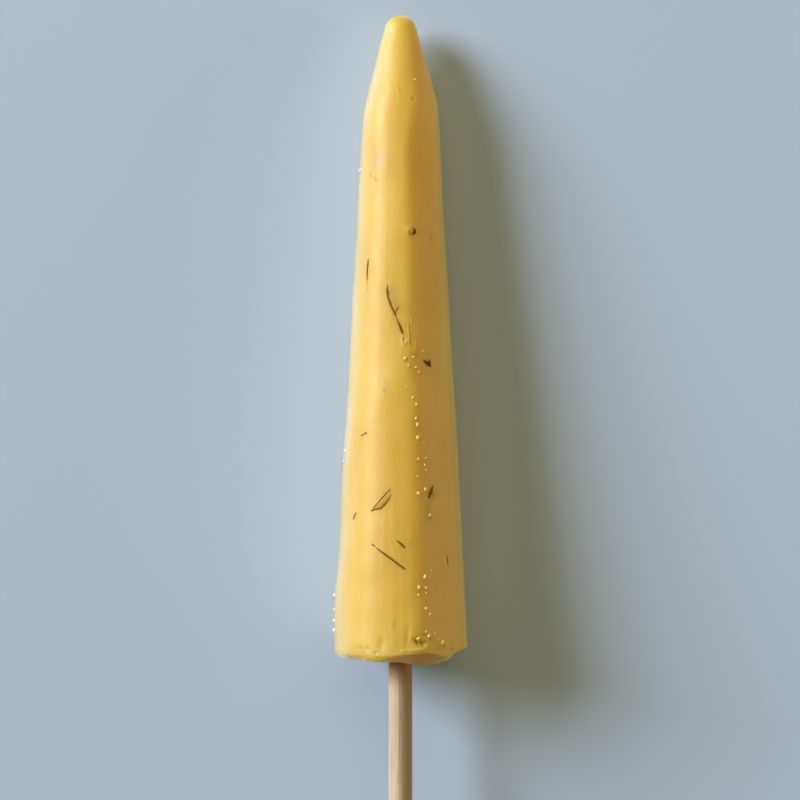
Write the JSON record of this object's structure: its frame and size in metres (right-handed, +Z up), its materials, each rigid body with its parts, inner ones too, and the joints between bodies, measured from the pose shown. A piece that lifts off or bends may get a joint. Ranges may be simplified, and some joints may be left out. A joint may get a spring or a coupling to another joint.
{
  "type": "ice lolly",
  "caption": "Slim cone-shaped yellow ice lolly with frozen-in dark threads on a round wooden stick, lying on its side.",
  "frame": {"origin": "on the resting surface, under the middle of the whole length", "axes": "+Y from the stick towards the tip, +Z up with the shown side facing up, +X to the right seen from above"},
  "size_m": [0.028, 0.2036, 0.028],
  "materials": {
    "ice": "frozen yellow dairy ice, satin, slightly translucent, with dark threads and small beads of refrozen melt",
    "stick": "plain sanded pale wood, straight grain along the stick",
    "threads": "thin dark olive to brown threads, wet where they stand out of the ice"
  },
  "bodies": {
    "root": {"ice": "ice", "stick": "stick"}
  },
  "joints": []
}
